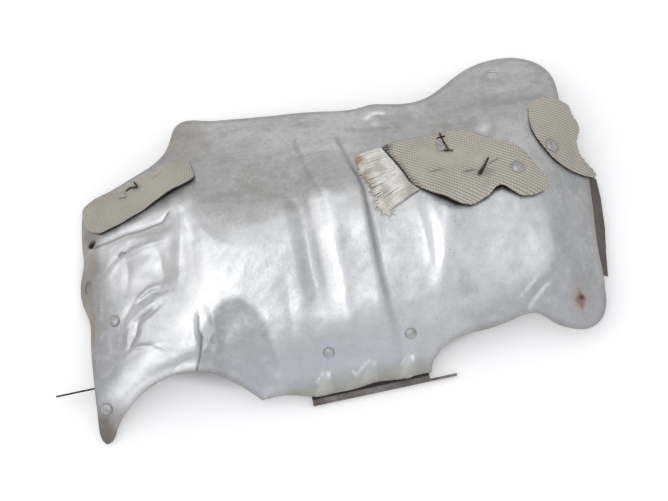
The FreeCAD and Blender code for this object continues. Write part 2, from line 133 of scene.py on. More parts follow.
# each crease is a line on the sheet, its height and its half width; a minus height is a groove
END_GROOVE = [(-151, 49.6), (-140.2, 49), (-130.2, 49.7), (-117.1, 48.7), (-104, 48.5), (-98.5, 53.7)]
CREASES = [
    ([(-152, 51), (-145, 52.6), (-121.7, 55), (-99, 58.2)], 1.5, 6.0),
    (END_GROOVE, -1.5, 2.2),
    ([(-147, 44), (-130, 45.5), (-112, 44)], 1.0, 4.5),
    ([(-146.6, 28.9), (-137.5, 36), (-127, 39.8), (-116, 39.1), (-110, 37)], -1.7, 3.4),
    ([(-145.6, 26.3), (-138.5, 32.1), (-131.5, 34.2), (-116, 36.1), (-105, 35.4)], 1.6, 2.6),
    ([(-111.1, 31), (-110, 21.5), (-109.7, 13)], -1.3, 4.0),
    ([(-131.5, 32), (-132.5, 22), (-136, 10)], -0.8, 3.5),
    ([(-88.6, 43), (-88, 28.8), (-89.4, 15.1), (-91.4, 3)], -0.7, 6.0),
    ([(-91, 56), (-93, 37.9), (-97.6, 18.1), (-102.1, 0)], 1.6, 6.0),
    ([(-82.4, 30), (-80.3, 10.9), (-80.8, -9)], 1.3, 8.0),
    ([(-92.7, 58.1), (-88.2, 53), (-84.6, 44.6), (-80.7, 35.1), (-75.3, 25.4), (-64, 16)], 1.3, 5.0),
    ([(-134.5, -2), (-128.5, 3.3), (-121, 7.3), (-114, 7.8)], 1.5, 2.0),
    ([(-141.5, -6.5), (-135.2, -1), (-129.4, 1.6), (-121.5, 4.0), (-115.5, 3.2), (-107, 1.7)], -1.8, 3.0),
    ([(-141, -12.5), (-135.1, -9), (-127.7, -5.9), (-118, -2.6)], 1.6, 2.4),
    ([(-140, -27.5), (-134.1, -19.1), (-131.5, -13.2), (-128.2, -10.4), (-121.6, -8), (-114, -5)], -1.8, 2.4),
    ([(-142.4, -25.8), (-140.5, -19), (-138, -13)], 1.4, 3.2),
    ([(-143, -31), (-136.6, -28.4), (-131.4, -29.2), (-124, -31)], 1.4, 2.4),
    ([(-125.5, -30.2), (-121.2, -32.2), (-115, -37)], -0.9, 1.8),
    ([(-148, 62), (-151, 49), (-153.1, 38), (-155.4, 13), (-158.4, -7.4), (-163.2, -33.7)], 0.9, 3.0),
    ([(-93.4, -19), (-95.1, -28.6), (-93.8, -33), (-96.5, -42.1), (-101.4, -52)], -0.45, 1.2),
    ([(-84.6, -22.4), (-87, -32.7), (-92, -39.7), (-98, -46)], 1.0, 3.0),
    ([(-118, -50), (-108.8, -44.7), (-100.3, -44.5), (-88.8, -47.9), (-74, -57.5)], -0.7, 3.2),
    ([(20, 92), (31, 90), (39, 89), (66, 82), (87, 83), (100, 87), (114, 90), (129, 88), (150, 79)],
     -0.9, 3.2),
    ([(-77, 89), (-55, 87), (-31, 85), (-6, 84.5)], -0.7, 2.0),
    ([(-77, 92), (-55, 90), (-31, 88.5), (-8, 88)], 0.5, 3.0),
    ([(-26, 114), (-20, 107), (-12, 86)], 0.9, 2.4),
    ([(-20, 99), (-10, 105), (8, 108)], 0.7, 2.4),
    ([(-33, -12), (-37, -48)], -0.7, 5.0),
    ([(115.5, -55.5), (120.4, -50.3), (126.6, -45.7), (133, -42)], -1.0, 2.0),
    ([(118, -58), (124, -52.5), (130, -48), (137, -45)], 0.9, 2.4),
    ([(112, -51), (119.9, -45.6), (127, -40)], 0.9, 2.2),
    ([(139, 6), (140.9, -14.3), (140.3, -25.8), (135.9, -36.2), (127, -44)], 1.1, 6.0),
    ([(58, 24), (60, -6), (61, -36)], 1.0, 6.0),
    ([(78, 16), (71, -12), (62, -37)], 0.9, 5.5),
    ([(71, 14), (69, -6), (64, -28)], 0.7, 5.0),
    ([(66, 14), (65, -6), (62, -28)], -0.6, 4.5),
    ([(164, 126), (161, 107), (153, 88)], 0.7, 3.0),
    ([(-58, -60), (-50, -66), (-46, -72)], 0.9, 4.0),
    ([(27.5, 60), (28, 35), (26.5, -17), (24, -50), (27, -72)], -0.6, 3.0),
    ([(-8, 92), (-5.5, 64), (-2, 40)], -1.3, 3.4),
    ([(20, 86), (25, 57), (29, 34)], -1.3, 2.6),
    ([(14, 84), (18, 58), (22, 38)], 0.7, 5.0),
]
# each dent is a place, two radii and a height
DENTS = [
    (-93, 60, 7, 7, 1.4), (-122, 26, 9, 9, 1.2), (-121, 19, 6, 3, 0.5), (-131, -37, 8, 8, 0.9),
    (-121, -44, 8, 6, 0.9), (-147, 10, 7, 12, -0.6), (114, 62, 5, 4, 1.1), (104, 72, 9, 5, -0.5),
    (40, 102, 10, 4, -0.6), (-48, -2, 16, 22, 0.6), (-60, 60, 20, 16, 0.6), (-30, 66, 14, 12, -0.5),
    (96, 45, 18, 12, 0.5), (120, -8, 14, 20, -0.8), (95, -30, 18, 14, 0.6), (152, 50, 8, 9, 0.5),
    (-155, 8, 5, 10, 0.5), (12, -20, 9, 26, -0.4), (88, 96, 12, 6, 0.5), (128, 106, 12, 8, -0.5),
    (150, -58, 8, 7, -0.7), (-62, -52, 10, 9, 0.7), (12, 60, 8, 10, 0.4), (-28, 20, 9, 30, 0.3),
    (-60, 108, 16, 8, -0.7), (-36, 100, 10, 6, 0.6), (70, 95, 9, 5, 0.5), (100, 102, 9, 6, 0.5),
    (154, 20, 8, 12, 0.5), (160, -25, 6, 14, -0.6), (86, -48, 16, 8, -0.6), (58, -52, 10, 8, 0.6),
]


# pinched folds of the front rim: tents that open from a peak towards the edge
PEAKS = [(-18.0, -65.5), (12.3, -64.5), (37.5, -66.0)]


def worn(x, y):
    """Height of the outer face today: pressed shape, creases, folds, dents and the bolt hole's ring."""
    z = np.array(pressed(x, y), float)
    shape = z.shape
    z = z.reshape(-1)
    fx, fy = (np.array(v, float).reshape(-1) for v in np.broadcast_arrays(x, y))
    for points, height, half in CREASES:
        reach = 1.4 * half
        low, high = np.min(points, axis=0) - reach, np.max(points, axis=0) + reach
        near = (fx > low[0]) & (fx < high[0]) & (fy > low[1]) & (fy < high[1])
        if near.any():
            d, along = line_distance(fx[near], fy[near], points)
            depth = np.clip(1.0 - d / reach, 0.0, 1.0)
            fold = 0.55 * depth * depth + 0.45 * depth * depth * (3.0 - 2.0 * depth)
            z[near] += height * fold * np.sqrt(np.sin(math.pi * np.clip(along, 0.03, 0.97)))
    z = z.reshape(shape)
    for peak_x, peak_y in PEAKS:
        open_part = np.clip((peak_y - y) / 14.0, 0.0, 1.0)
        side = np.clip(1.0 - np.abs(x - peak_x) / (1.5 + 11.0 * open_part), 0.0, 1.0)
        z = z + 2.3 * ramp(0.0, 0.45, open_part) * side
    for cx, cy, rx, ry, height in DENTS:
        z = z + height * hump(x, y, cx, cy, 1.6 * rx, 1.6 * ry)
    z = z + 0.7 * bell((np.hypot(x - 136.5, y - 116.5) - 5.2) / 2.4)
    # the rim of the front edge flares out a little under the pinched folds
    z = z + 0.16 * np.clip(-71.0 - y, 0.0, None) * ramp(-48.0, -30.0, x) * (1.0 - ramp(40.0, 50.0, x))
    # slight waviness of handled sheet
    waves = np.random.default_rng(3)
    for size, depth in ((34.0, 0.22), (21.0, 0.13), (12.0, 0.06), (7.0, 0.022)):
        for _ in range(5):
            turn, phase, stretch = waves.uniform(0.0, math.tau, 3)
            k = math.tau / size * (0.8 + 0.07 * stretch)
            z = z + 0.45 * depth * np.sin(k * (x * math.cos(turn) + y * math.sin(turn)) + phase)
    # the sheet is punched in round the four-sided tear
    punch = np.clip(1.0 - (np.abs(x + 152.6) / 3.9 + np.abs(y - 53.9) / 4.6), 0.0, 1.0)
    return z - 4.5 * ramp(0.0, 0.75, punch)


def square_to(x, y, surface):
    """Outward direction of a surface and the point on it, in the CAD source's axes."""
    e = 0.25
    z = surface(x, y)
    sx = (surface(x + e, y) - z) / e
    sy = (surface(x, y + e) - z) / e
    n = np.sqrt(1.0 + sx * sx + sy * sy)
    return np.stack([-sx / n, -sy / n, 1.0 / n], axis=-1), np.stack([x + 0.0 * z, y + 0.0 * z, z], axis=-1)


def outside(x, y, off, surface):
    """Points at the distance off outside a surface, in millimetres of the CAD source's axes."""
    normal, seat = square_to(x, y, surface)
    return seat + off * normal


def place(points):
    """Moves points from the CAD source's millimetres to the frame's metres."""
    return (np.asarray(points, float) + origin) * MM


def rim_line(node):
    """Closed plan line of a CAD sheet's upper rim, where its top face meets the upright cut edge."""
    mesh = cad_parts[node].data
    co = np.array([v.co for v in mesh.vertices]) / MM - origin
    merged = {}
    index = [merged.setdefault(tuple(np.round(p, 3)), len(merged)) for p in co]
    spots = np.array(list(merged.keys()))
    edges = {}
    for polygon in mesh.polygons:
        lean = polygon.normal.z
        kind = "wall" if abs(lean) < 0.15 else "top" if lean > 0.0 else "under"
        ids = [index[v] for v in polygon.vertices]
        for a, b in zip(ids, ids[1:] + ids[:1]):
            if a != b:
                edges.setdefault((min(a, b), max(a, b)), []).append(kind)
    links = {}
    for (a, b), kinds in edges.items():
        if sorted(kinds) == ["top", "wall"]:
            links.setdefault(a, []).append(b)
            links.setdefault(b, []).append(a)
    loops = []
    unused = set(links)
    while unused:
        loop = [min(unused, key=lambda v: len(links[v]))]
        unused.discard(loop[0])
        while True:
            following = [v for v in links[loop[-1]] if v in unused]
            if not following:
                break
            nearest = min(following, key=lambda v: math.dist(spots[v], spots[loop[-1]]))
            loop.append(nearest)
            unused.discard(nearest)
        loops.append(spots[loop][:, :2])
    loops.sort(key=len)
    return loops[-1]


def hole_line(x, y, radius):
    """Plan line of a round hole bored square to the worn sheet."""
    seat = outside(x, y, 0.0, pressed)
    square = outside(x, y, 1.0, pressed) - seat
    side = np.cross(square, (0.0, 1.0, 0.0))
    side /= np.linalg.norm(side)
    other = np.cross(square, side)
    turn = np.arange(40) * math.tau / 40
    return (seat + radius * (np.cos(turn)[:, None] * side + np.sin(turn)[:, None] * other))[:, :2]


def evenly(loop, step):
    """The closed line again with points at even steps."""
    closed = np.vstack([loop, loop[:1]])
    lengths = np.concatenate([[0.0], np.cumsum(np.hypot(*np.diff(closed, axis=0).T))])
    count = max(12, int(lengths[-1] / step))
    at = np.linspace(0.0, lengths[-1], count, endpoint=False)
    return np.stack([np.interp(at, lengths, closed[:, 0]), np.interp(at, lengths, closed[:, 1])], axis=1)


def inside(points, loop):
    """True where a plan point lies inside a closed line."""
    x, y = points[:, 0], points[:, 1]
    hit = np.zeros(len(points), bool)
    for (ax, ay), (bx, by) in zip(loop, np.roll(loop, -1, axis=0)):
        if ay != by:
            crosses = (ay > y) != (by > y)
            hit ^= crosses & (x < (bx - ax) * (y - ay) / (by - ay) + ax)
    return hit


def staggered(x0, x1, y0, y1, step):
    """Plan points of a triangular grid over a rectangle."""
    gx, gy = np.meshgrid(np.arange(x0, x1, step), np.arange(y0, y1, step * 0.87))
    gx = gx + 0.5 * step * (np.arange(gx.shape[0])[:, None] % 2)
    return np.stack([gx.ravel(), gy.ravel()], axis=1)


def plan_mesh(outline, holes, pitch, dense=None):
    """Triangles that fill a plan outline: points on its lines and a staggered grid between them."""
    loops = [evenly(outline, pitch)] + [evenly(h, min(pitch, 0.9)) for h in holes]
    low, high = outline.min(axis=0), outline.max(axis=0)
    grid = staggered(low[0], high[0], low[1], high[1], pitch)
    if dense:
        (x0, x1, y0, y1), fine = dense
        in_box = (grid[:, 0] > x0) & (grid[:, 0] < x1) & (grid[:, 1] > y0) & (grid[:, 1] < y1)
        grid = np.vstack([grid[~in_box], staggered(x0, x1, y0, y1, fine)])
    grid = grid[inside(grid, outline)]
    for i, loop in enumerate(loops):
        keep = np.ones(len(grid), bool)
        if i:
            keep &= ~inside(grid, loop)
        for start in range(0, len(loop), 64):
            part = loop[start:start + 64]
            apart = grid[:, None, :] - part[None, :, :]
            gap = np.min(np.hypot(apart[:, :, 0], apart[:, :, 1]), axis=1)
            keep &= gap > (0.55 * pitch if i == 0 else 0.5)
        grid = grid[keep]
    points = np.vstack(loops + [grid])
    edges = []
    first = 0
    for loop in loops:
        n = len(loop)
        edges += [(first + i, first + (i + 1) % n) for i in range(n)]
        first += n
    corners = [Vector(p) for p in points]
    verts, _, faces, _, _, _ = geometry.delaunay_2d_cdt(corners, edges, [], 0, 1e-5, False)
    verts = np.array([tuple(v) for v in verts])
    faces = np.array([f for f in faces if len(f) == 3])
    middle = verts[faces].mean(axis=1)
    keep = inside(middle, loops[0])
    for hole in loops[1:]:
        keep &= ~inside(middle, hole)
    faces = faces[keep]
    a, b, c = verts[faces[:, 0]], verts[faces[:, 1]], verts[faces[:, 2]]
    turn = (b[:, 0] - a[:, 0]) * (c[:, 1] - a[:, 1]) - (b[:, 1] - a[:, 1]) * (c[:, 0] - a[:, 0])
    faces[turn < 0] = faces[turn < 0][:, ::-1]
    used = np.unique(faces)
    new = np.full(len(verts), -1)
    new[used] = np.arange(len(used))
    return verts[used], new[faces]


def link(name, data):
    piece = bpy.data.objects.new(name, data)
    bpy.context.scene.collection.objects.link(piece)
    return piece


def mesh_object(name, points, faces):
    mesh = bpy.data.meshes.new(name)
    mesh.from_pydata([tuple(p) for p in points], [], [tuple(int(i) for i in f) for f in faces])
    mesh.polygons.foreach_set("use_smooth", [True] * len(mesh.polygons))
    return link(name, mesh)


LEFT_PATCH = [
    (-152.6, 83.6), (-154.6, 74), (-152.6, 65.5), (-147, 58.5), (-143, 56.8), (-134, 57.6), (-121, 59.8),
    (-108, 63.4), (-93, 68.2), (-80, 71.8), (-77.4, 75), (-78, 85), (-80.4, 92.4), (-87, 94.6),
    (-100, 89.6), (-116, 86.8), (-127, 84.4), (-140, 85.6),
]
MIDDLE_PATCH = [
    (48, 66.8), (54, 68.2), (64, 68.8), (79, 68.0), (91, 68.8), (98, 67.8), (104, 65.4), (116.4, 55.9),
    (129, 48), (135.4, 39.4), (141.5, 27.5), (144, 18.8), (141.4, 13), (134.1, 10.5), (126.6, 10.8),
    (121.2, 14.2), (115.5, 18.4), (110, 17.6), (103.4, 13.9), (92.5, 11.2), (83.8, 13.2), (75, 19.6),
    (67.4, 25.2), (60.5, 31.5), (57.2, 39.7), (54.2, 50), (51, 58.5),
]
RIGHT_PATCH = [
    (151.1, 78.4), (148, 70.6), (146.1, 62), (146, 53.6), (148.6, 45.7), (152.6, 38.8), (158, 33.4),
    (168, 28.2), (178, 26.2), (184, 26.8), (185, 29.8), (180, 36), (176.4, 42), (176, 50), (179.4, 56.4),
    (181, 63), (178.2, 69.5), (176.8, 76), (171, 80), (161, 81.6),
]
FRINGE_ROOTS = [(46.6, 66.2), (50.8, 55.2), (54.2, 44.4), (57.0, 35.0), (62.5, 27.4)]
FRINGE_ENDS = [(28.1, 63.3), (27.6, 53.4), (29.7, 44.1), (32.0, 34.0), (34.0, 23.4), (37.9, 17.0)]


def edge_distance(x, y, loop):
    """Distance inside a closed line, minus outside it."""
    ring = list(map(tuple, loop)) + [tuple(loop[0])]
    d, _ = line_distance(x, y, ring)
    within = inside(np.stack([x, y], axis=1), np.array(loop))
    return np.where(within, d, -d)


def paint(mesh, name, values):
    layer = mesh.attributes.new(name, "FLOAT", "POINT")
    layer.data.foreach_set("value", np.asarray(values, np.float32))


shell_outline = rim_line("outer_shell")
# the front rim has been bent up in the middle and down at its left end
bend_x = [-50, -44, -32, -26, -15.5, -3, 5, 12, 18, 25, 46, 49, 53]
bend_y = [0, -0.3, -1.7, -1.9, -0.2, 1.8, 2.5, 3.9, 4.3, 2.7, 2.5, 1.5, 0]
front_rim_y = -70.0
on_front = shell_outline[:, 1] < front_rim_y
shell_outline[on_front, 1] += np.interp(shell_outline[on_front, 0], bend_x, bend_y)
tear = [(-149.9, 53.0), (-151.5, 57.8), (-155.3, 55.0), (-153.1, 49.8)]
tear_middle = np.array([(-152.6, 53.9)])
slit = tear_middle + 0.22 * (np.array(tear) - tear_middle)
ear_hole, flange_hole = (136.5, 116.5, 3.5), (-160.5, 26.0, 4.5)
shell_holes = [hole_line(*ear_hole), hole_line(*flange_hole), slit]
pitch, fine_pitch = ((1.5, 0.85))
creased_end = (-166, -76, -62, 66)
plan, triangles = plan_mesh(shell_outline, shell_holes, pitch, (creased_end, fine_pitch))
top = np.stack([plan[:, 0], plan[:, 1], worn(plan[:, 0], plan[:, 1])], axis=1)
shell = mesh_object("shell_sheet", place(top), triangles)
skin = shell.modifiers.new("thickness", "SOLIDIFY")
skin.thickness = SHEET * MM
skin.offset = -1.0
px, py = plan[:, 0], plan[:, 1]
# painted shade, near black, under the cloth patches and their lifted edges, under the fringe, along creases,
# in the tear and at the lower left tip
painted_shade = np.zeros(len(plan))
for loop, edge in ((LEFT_PATCH, 0.0), (MIDDLE_PATCH, -0.9), (RIGHT_PATCH, 0.3)):
    painted_shade = np.maximum(painted_shade, ramp(edge - 1.3, edge + 1.2, edge_distance(px, py, loop)))
fringe_zone = FRINGE_ROOTS + FRINGE_ENDS[::-1]
painted_shade = np.maximum(painted_shade, 0.35 * ramp(-0.5, 2.5, edge_distance(px, py, fringe_zone)))
for line, width, depth in (
    ([(-93.4, -20), (-95.1, -28.6), (-93.8, -33), (-96.5, -42.1), (-101.4, -52)], 0.9, 0.5),
    (END_GROOVE, 1.0, 0.55),
    ([(-139.6, -26.2), (-134.1, -19.1), (-131.5, -12.5), (-128.2, -9.5), (-121.6, -7.1)], 0.9, 0.45),
    ([(-136, 37), (-134, 38.5), (-131.5, 37)], 0.9, 0.6),
    ([(-153.2, 53.9), (-152.0, 53.9)], 2.8, 1.0),
):
    painted_shade = np.maximum(painted_shade, depth * (1.0 - ramp(0.3 * width, 1.3 * width, line_distance(px, py, line)[0])))
painted_shade = np.maximum(painted_shade, 0.4 * (1.0 - ramp(-70.0, -52.0, py)) * (1.0 - ramp(-168.0, -154.0, px)))
paint(shell.data, "painted_shade", painted_shade)
# brown heat stain on the end flange, the tip, the back left corner and along the rim
rim = line_distance(px, py, list(map(tuple, shell_outline)) + [tuple(shell_outline[0])])[0]
warm = 1.0 - ramp(-158.5, -150.0, px - 0.20 * (py - 20.0))
warm = np.maximum(warm, (1.0 - ramp(-70.0, -50.0, py)) * (1.0 - ramp(-158.0, -140.0, px)))
warm = np.maximum(warm, 1.6 * (1.0 - ramp(-70.0, -48.0, py)) * (1.0 - ramp(-166.0, -150.0, px)))
warm = np.maximum(warm, 0.75 * ramp(86.0, 104.0, py) * (1.0 - ramp(-84.0, -52.0, px)))
warm = np.maximum(warm, 0.65 * (1.0 - ramp(0.5, 4.5, rim)))
paint(shell.data, "warm", warm)
# painted shade over the back of the dome behind the crest and beside the left patch, and a duller finish
# there
crest_x = [-156, -120, -100, -90, -82, -72, -56, -41, -22, -7, 6, 26, 50, 110, 150]
crest_y = [51, 55.5, 57.5, 54, 46, 37, 28, 27, 31.5, 36.5, 39.5, 38, 31, 22, 14]
paint(shell.data, "dull_and_shade", ramp(-5.0, 6.0, py - np.interp(px, crest_x, crest_y)))
# painted highlight along the high folds, the bead's crest, the rim's pinched folds and small bumps: line,
# half width, strength
painted_highlight = np.zeros(len(plan))
for line, width, depth in (
    ([(-89, 52), (-88, 36), (-83, 19), (-83, 0), (-92, -14), (-109, -25)], 9.0, 0.9),
    ([(-109, -25), (-127, -36), (-139, -46), (-152, -54)], 7.0, 0.8),
    ([(-94, 51), (-95, 31), (-98, 17)], 5.0, 0.9),
    ([(-130, 52), (-108, 51), (-95, 52)], 5.0, 0.6),
    ([(-118, 33), (-112, 27), (-118, 21)], 6.0, 0.55),
    ([(2.5, 38), (2.2, 17), (0.8, 0), (0.2, -18), (-0.8, -39)], 3.6, 1.0),
    ([(-3, 37), (-3.5, 17), (-4.5, 0), (-5, -18), (-5, -36)], 6.0, 0.55),
    ([(-146, 46), (-120, 50), (-98, 50)], 7.0, 0.5),
    ([(-136, 22), (-112, 20), (-100, 24)], 14.0, 0.45),
    ([(-138, -4), (-112, -8)], 10.0, 0.3),
    ([(-6, 35), (3, 34), (12, 32)], 4.0, 0.7),
    ([(66, 15), (64, 0), (62.5, -15), (61, -32)], 5.0, 0.9),
    ([(76, 13), (73.5, -2), (68, -16), (61, -32)], 4.5, 0.9),
    ([(-27.2, -71.5), (-21.9, -66.8)], 0.9, 1.0),
    ([(-2.8, -69.6), (-1, -71.9), (3.2, -69), (8.8, -66)], 0.9, 1.0),
    ([(29.8, -70.8), (34, -67.5)], 0.9, 0.8),
    ([(116, 66), (117, 67)], 4.5, 0.9),
    ([(44, 97), (50, 100), (55, 99)], 2.6, 1.0),
):
    fade = np.clip(1.0 - line_distance(px, py, line)[0] / (1.5 * width), 0.0, 1.0)
    painted_highlight = np.maximum(painted_highlight, depth * fade ** 1.3)
paint(shell.data, "painted_highlight", painted_highlight * (1.0 - 0.9 * np.clip(warm - 0.7, 0.0, 1.0)))
# painted shade, grey, in the hollows, along the bead and over the end and right walls: closed line, soft
# edge, strength
grey_shade = np.zeros(len(plan))
for line, soft, depth in (
    ([(-98, -33), (-89, -22.5), (-81, -17), (-72, -14), (-65, -15), (-57, -22), (-52, -31), (-50, -46),
      (-48, -60), (-63, -73), (-76, -68), (-102, -56)], 2.6, 0.95),
    ([(31, 26), (58, 20), (58, -30), (31, -34)], 7.0, 0.35),
    ([(-10, 92), (-6, 92), (-3.5, 64), (0.5, 40), (-3, 40), (-7.5, 64)], 1.6, 0.7),
    ([(18.5, 86), (21.5, 86), (26.5, 57), (30.5, 34), (27.5, 34), (23.5, 57)], 1.4, 0.8),
    ([(-172, 60), (-150, 46), (-143, 30), (-144, 12), (-140, -14), (-143, -34), (-152, -52), (-166, -74),
      (-180, -80)], 7.0, 1.0),
    ([(190, 60), (149, 30), (146, -3), (139, -25), (126, -36), (100, -44), (70, -50), (90, -80), (190, -80)],
     8.0, 0.75),
    ([(26, 60), (30, 24), (30, -5), (31, -29), (33, -52), (31, -72), (28, -72), (26, -29), (24.5, 20)],
     2.4, 0.5),
    ([(73, -17), (82, -22), (88, -44), (76, -44)], 5.0, 0.5),
    ([(-20, 36), (-14, 36), (-11, -34), (-18, -34)], 4.0, 0.45),
    ([(28, 92), (40, 89), (66, 84), (66, 80), (40, 84), (28, 88)], 2.5, 0.7),
    ([(66, 84), (100, 91), (130, 92), (148, 82), (130, 84), (100, 82)], 3.0, 0.45),
):
    grey_shade = np.maximum(grey_shade, depth * ramp(-0.6 * soft, soft, edge_distance(px, py, line)))
paint(shell.data, "grey_shade", grey_shade * (1.0 - 0.7 * painted_highlight))


class Wire:
    """A shader socket that takes part in sums; other values may be numbers or sockets."""

    def __init__(self, graph, socket):
        self.graph, self.socket = graph, socket

    def math(self, operation, *values):
        return self.graph.node("Math", *([self] + list(values)), operation=operation)

    def __add__(self, other):
        return self.math("ADD", other)

    def __mul__(self, other):
        return self.math("MULTIPLY", other)

    def __sub__(self, other):
        return self.math("SUBTRACT", other)

    def __rsub__(self, other):
        return self.graph.node("Math", other, self, operation="SUBTRACT")

    def __truediv__(self, other):
        return self.math("DIVIDE", other)

    __radd__ = __add__
    __rmul__ = __mul__

    def step(self, low, high):
        """0 below low, 1 above high, smooth between."""
        return self.graph.node("MapRange", self, low, high, 0.0, 1.0, interpolation_type="SMOOTHSTEP")


class Graph:
    """The node tree of a material or the sky, with one method that adds a node and wires its inputs."""

    def __init__(self, name, kind="materials", shader="Principled BSDF"):
        self.owner = getattr(bpy.data, kind).new(name)
        self.owner.use_nodes = True
        self.tree = self.owner.node_tree
        self.shader = self.tree.nodes[shader]

    def node(self, kind, *inputs, out=0, named=None, **settings):
        node = self.tree.nodes.new("ShaderNode" + kind)
        for key, value in settings.items():
            setattr(node, key, value)
        pairs = list(enumerate(inputs)) + list((named or {}).items())
        for key, value in pairs:
            self.feed(node.inputs[key], value)
        return Wire(self, node.outputs[out])

    def feed(self, socket, value):
        if isinstance(value, Wire):
            self.tree.links.new(value.socket, socket)
        elif value is not None:
            socket.default_value = value

    def place(self):
        return self.node("TexCoord", out="Object")

    def axis(self, letter):
        return self.node("SeparateXYZ", self.place(), out=letter)

    def painted(self, name):
        return self.node("Attribute", out="Fac", attribute_name=name)

    def noise(self, scale, detail=3.0, rough=0.55, at=None):
        named = {"Vector": at or self.place(), "Scale": scale, "Detail": detail, "Roughness": rough}
        return self.node("TexNoise", named=named)

    def mix(self, amount, first, second):
        """Blends two colours, given as three numbers or as sockets."""
        node = self.tree.nodes.new("ShaderNodeMix")
        node.data_type = "RGBA"
        for key, value in ((0, amount), (6, first), (7, second)):
            self.feed(node.inputs[key], value + (1.0,) if isinstance(value, tuple) else value)
        return Wire(self, node.outputs[2])

    def near(self, spot, reach, soft):
        """1 at a spot given in the CAD source's millimetres, falling to 0 past reach."""
        centre = tuple(place(spot))
        gap = self.node("VectorMath", self.place(), centre, out="Value", operation="DISTANCE")
        return 1.0 - gap.step((reach - soft) * MM, (reach + soft) * MM)

    def finish(self, **inputs):
        for key, value in inputs.items():
            self.feed(self.shader.inputs[key.replace("_", " ")], value)
        return self.owner

    def bump(self, height, strength, distance):
        named = {"Height": height, "Strength": strength, "Distance": distance}
        return self.node("Bump", named=named, out="Normal")


def shell_metal():
    g = Graph("aged_aluminium")
    spot = g.place()
    x, y = g.axis("X"), g.axis("Y")
    cloud = g.noise(13.0, 6.0, 0.66)
    blot = g.noise(55.0, 6.0, 0.66)
    fleck = g.noise(170.0, 5.0, 0.7)
    grain = g.noise(420.0, 4.0, 0.7)
    stretch = {"Vector": spot, "Scale": (0.16, 1.0, 1.0), "Rotation": (0, 0, 0.12)}
    streak = g.noise(120.0, 5.0, 0.62, at=g.node("Mapping", named=stretch))
    painted_shade, warm, dull_and_shade, painted_highlight, grey_shade = (g.painted(name) for name in ("painted_shade", "warm", "dull_and_shade", "painted_highlight", "grey_shade"))
    # painted reflection: the front skirt blue-grey, less on the right; its rim green-grey
    front = 1.0 - y.step(-0.086, -0.058)
    low = (1.0 - y.step(-0.100, -0.090)) * x.step(-0.050, -0.036) * (1.0 - x.step(0.046, 0.056))
    # dark specks, thickest on the lower front
    pattern = {"Vector": spot, "Scale": 230.0, "Randomness": 1.0}
    cells = g.node("TexVoronoi", named=pattern, out="Distance")
    chance = g.noise(90.0, 1.0, 0.5)
    specks = (1.0 - cells.step(0.04, 0.12)) * chance.step(0.58, 0.62) * (1.0 - y.step(-0.050, 0.050) * 0.75)
    # rust spot of the lower right ear, four-sided with a dark core
    u = (x - float(place((152.2, 0.0, 0.0))[0])).math("ABSOLUTE") / 0.0052
    v = (y - float(place((0.0, -56.3, 0.0))[1])).math("ABSOLUTE") / 0.0076
    reach = u + v + (blot - 0.5) * 0.9
    rust = 1.0 - reach.step(0.45, 1.25)
    core = g.near((153.0, -55.6, 19.0), 1.7, 0.8)
    colour = g.mix(cloud.step(0.32, 0.68), (0.60, 0.605, 0.61), (0.74, 0.745, 0.75))
    # what lies over the bare metal, from the first layer to the last: how much of it, and its colour
    for amount, tint in (
        (blot.step(0.40, 0.72) * 0.45, (0.50, 0.50, 0.495)),
        # painted shade behind the crest, mottled with darker streaks and blots and lighter spots
        (dull_and_shade * 0.6, (0.50, 0.495, 0.485)),
        (dull_and_shade * streak.step(0.50, 0.68) * 0.35, (0.38, 0.375, 0.36)),
        (dull_and_shade * blot.step(0.48, 0.62) * 0.45, (0.40, 0.395, 0.375)),
        (dull_and_shade * cloud.step(0.50, 0.66) * 0.5, (0.74, 0.745, 0.755)),
        # painted shade, grey, in the hollows and on the end and right walls
        (grey_shade * (0.55 + fleck * 0.5), (0.40, 0.405, 0.42)),
        (fleck.step(0.50, 0.70) * 0.22, (0.40, 0.40, 0.395)),
        ((1.0 - fleck.step(0.32, 0.50)) * 0.22, (0.82, 0.825, 0.835)),
        # painted reflection, blue-grey, on the front skirt
        (front * (0.55 - x.step(0.02, 0.08) * 0.40), (0.57, 0.605, 0.67)),
        (low * (0.55 + blot * 0.6), (0.44, 0.445, 0.40)),
        # painted highlight, near white, along the high folds
        (painted_highlight * 0.9, (0.95, 0.955, 0.965)),
        (warm * blot.step(0.25, 0.65) * 0.6 + warm * 0.28, (0.36, 0.315, 0.27)),
        (grain.step(0.50, 0.70) * (0.20 + dull_and_shade * 0.25 + grey_shade * 0.15), (0.36, 0.355, 0.345)),
        (specks * 0.65, (0.12, 0.11, 0.10)),
        ((1.0 - reach.step(0.9, 3.0)) * 0.35, (0.46, 0.36, 0.31)),
        (rust * 0.85, (0.26, 0.115, 0.08)),
        (core * 0.85, (0.07, 0.035, 0.03)),
        # painted shade, near black, under the cloth, in creases and in the tear
        (painted_shade, (0.014, 0.012, 0.011)),
    ):
        colour = g.mix(amount, colour, tint)
    rough = 0.25 + cloud * 0.08 + blot * 0.10 + grain * 0.10 + dull_and_shade * 0.12 + warm * 0.12 + grey_shade * 0.10
    rough = rough + specks * 0.2 + painted_shade * 0.3 - painted_highlight * 0.05
    metal = 0.92 - rust * 0.75 - specks * 0.6 - painted_shade * 0.85
    relief = blot * 0.5 + fleck * 0.4 + grain * 0.35 + streak * dull_and_shade * 0.5
    return g.finish(
        Base_Color=colour, Roughness=rough, Metallic=metal, Normal=g.bump(relief, 0.38, 0.0009),
    )


shell.data.materials.append(shell_metal())
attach(shell, "root")
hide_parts("outer_shell")


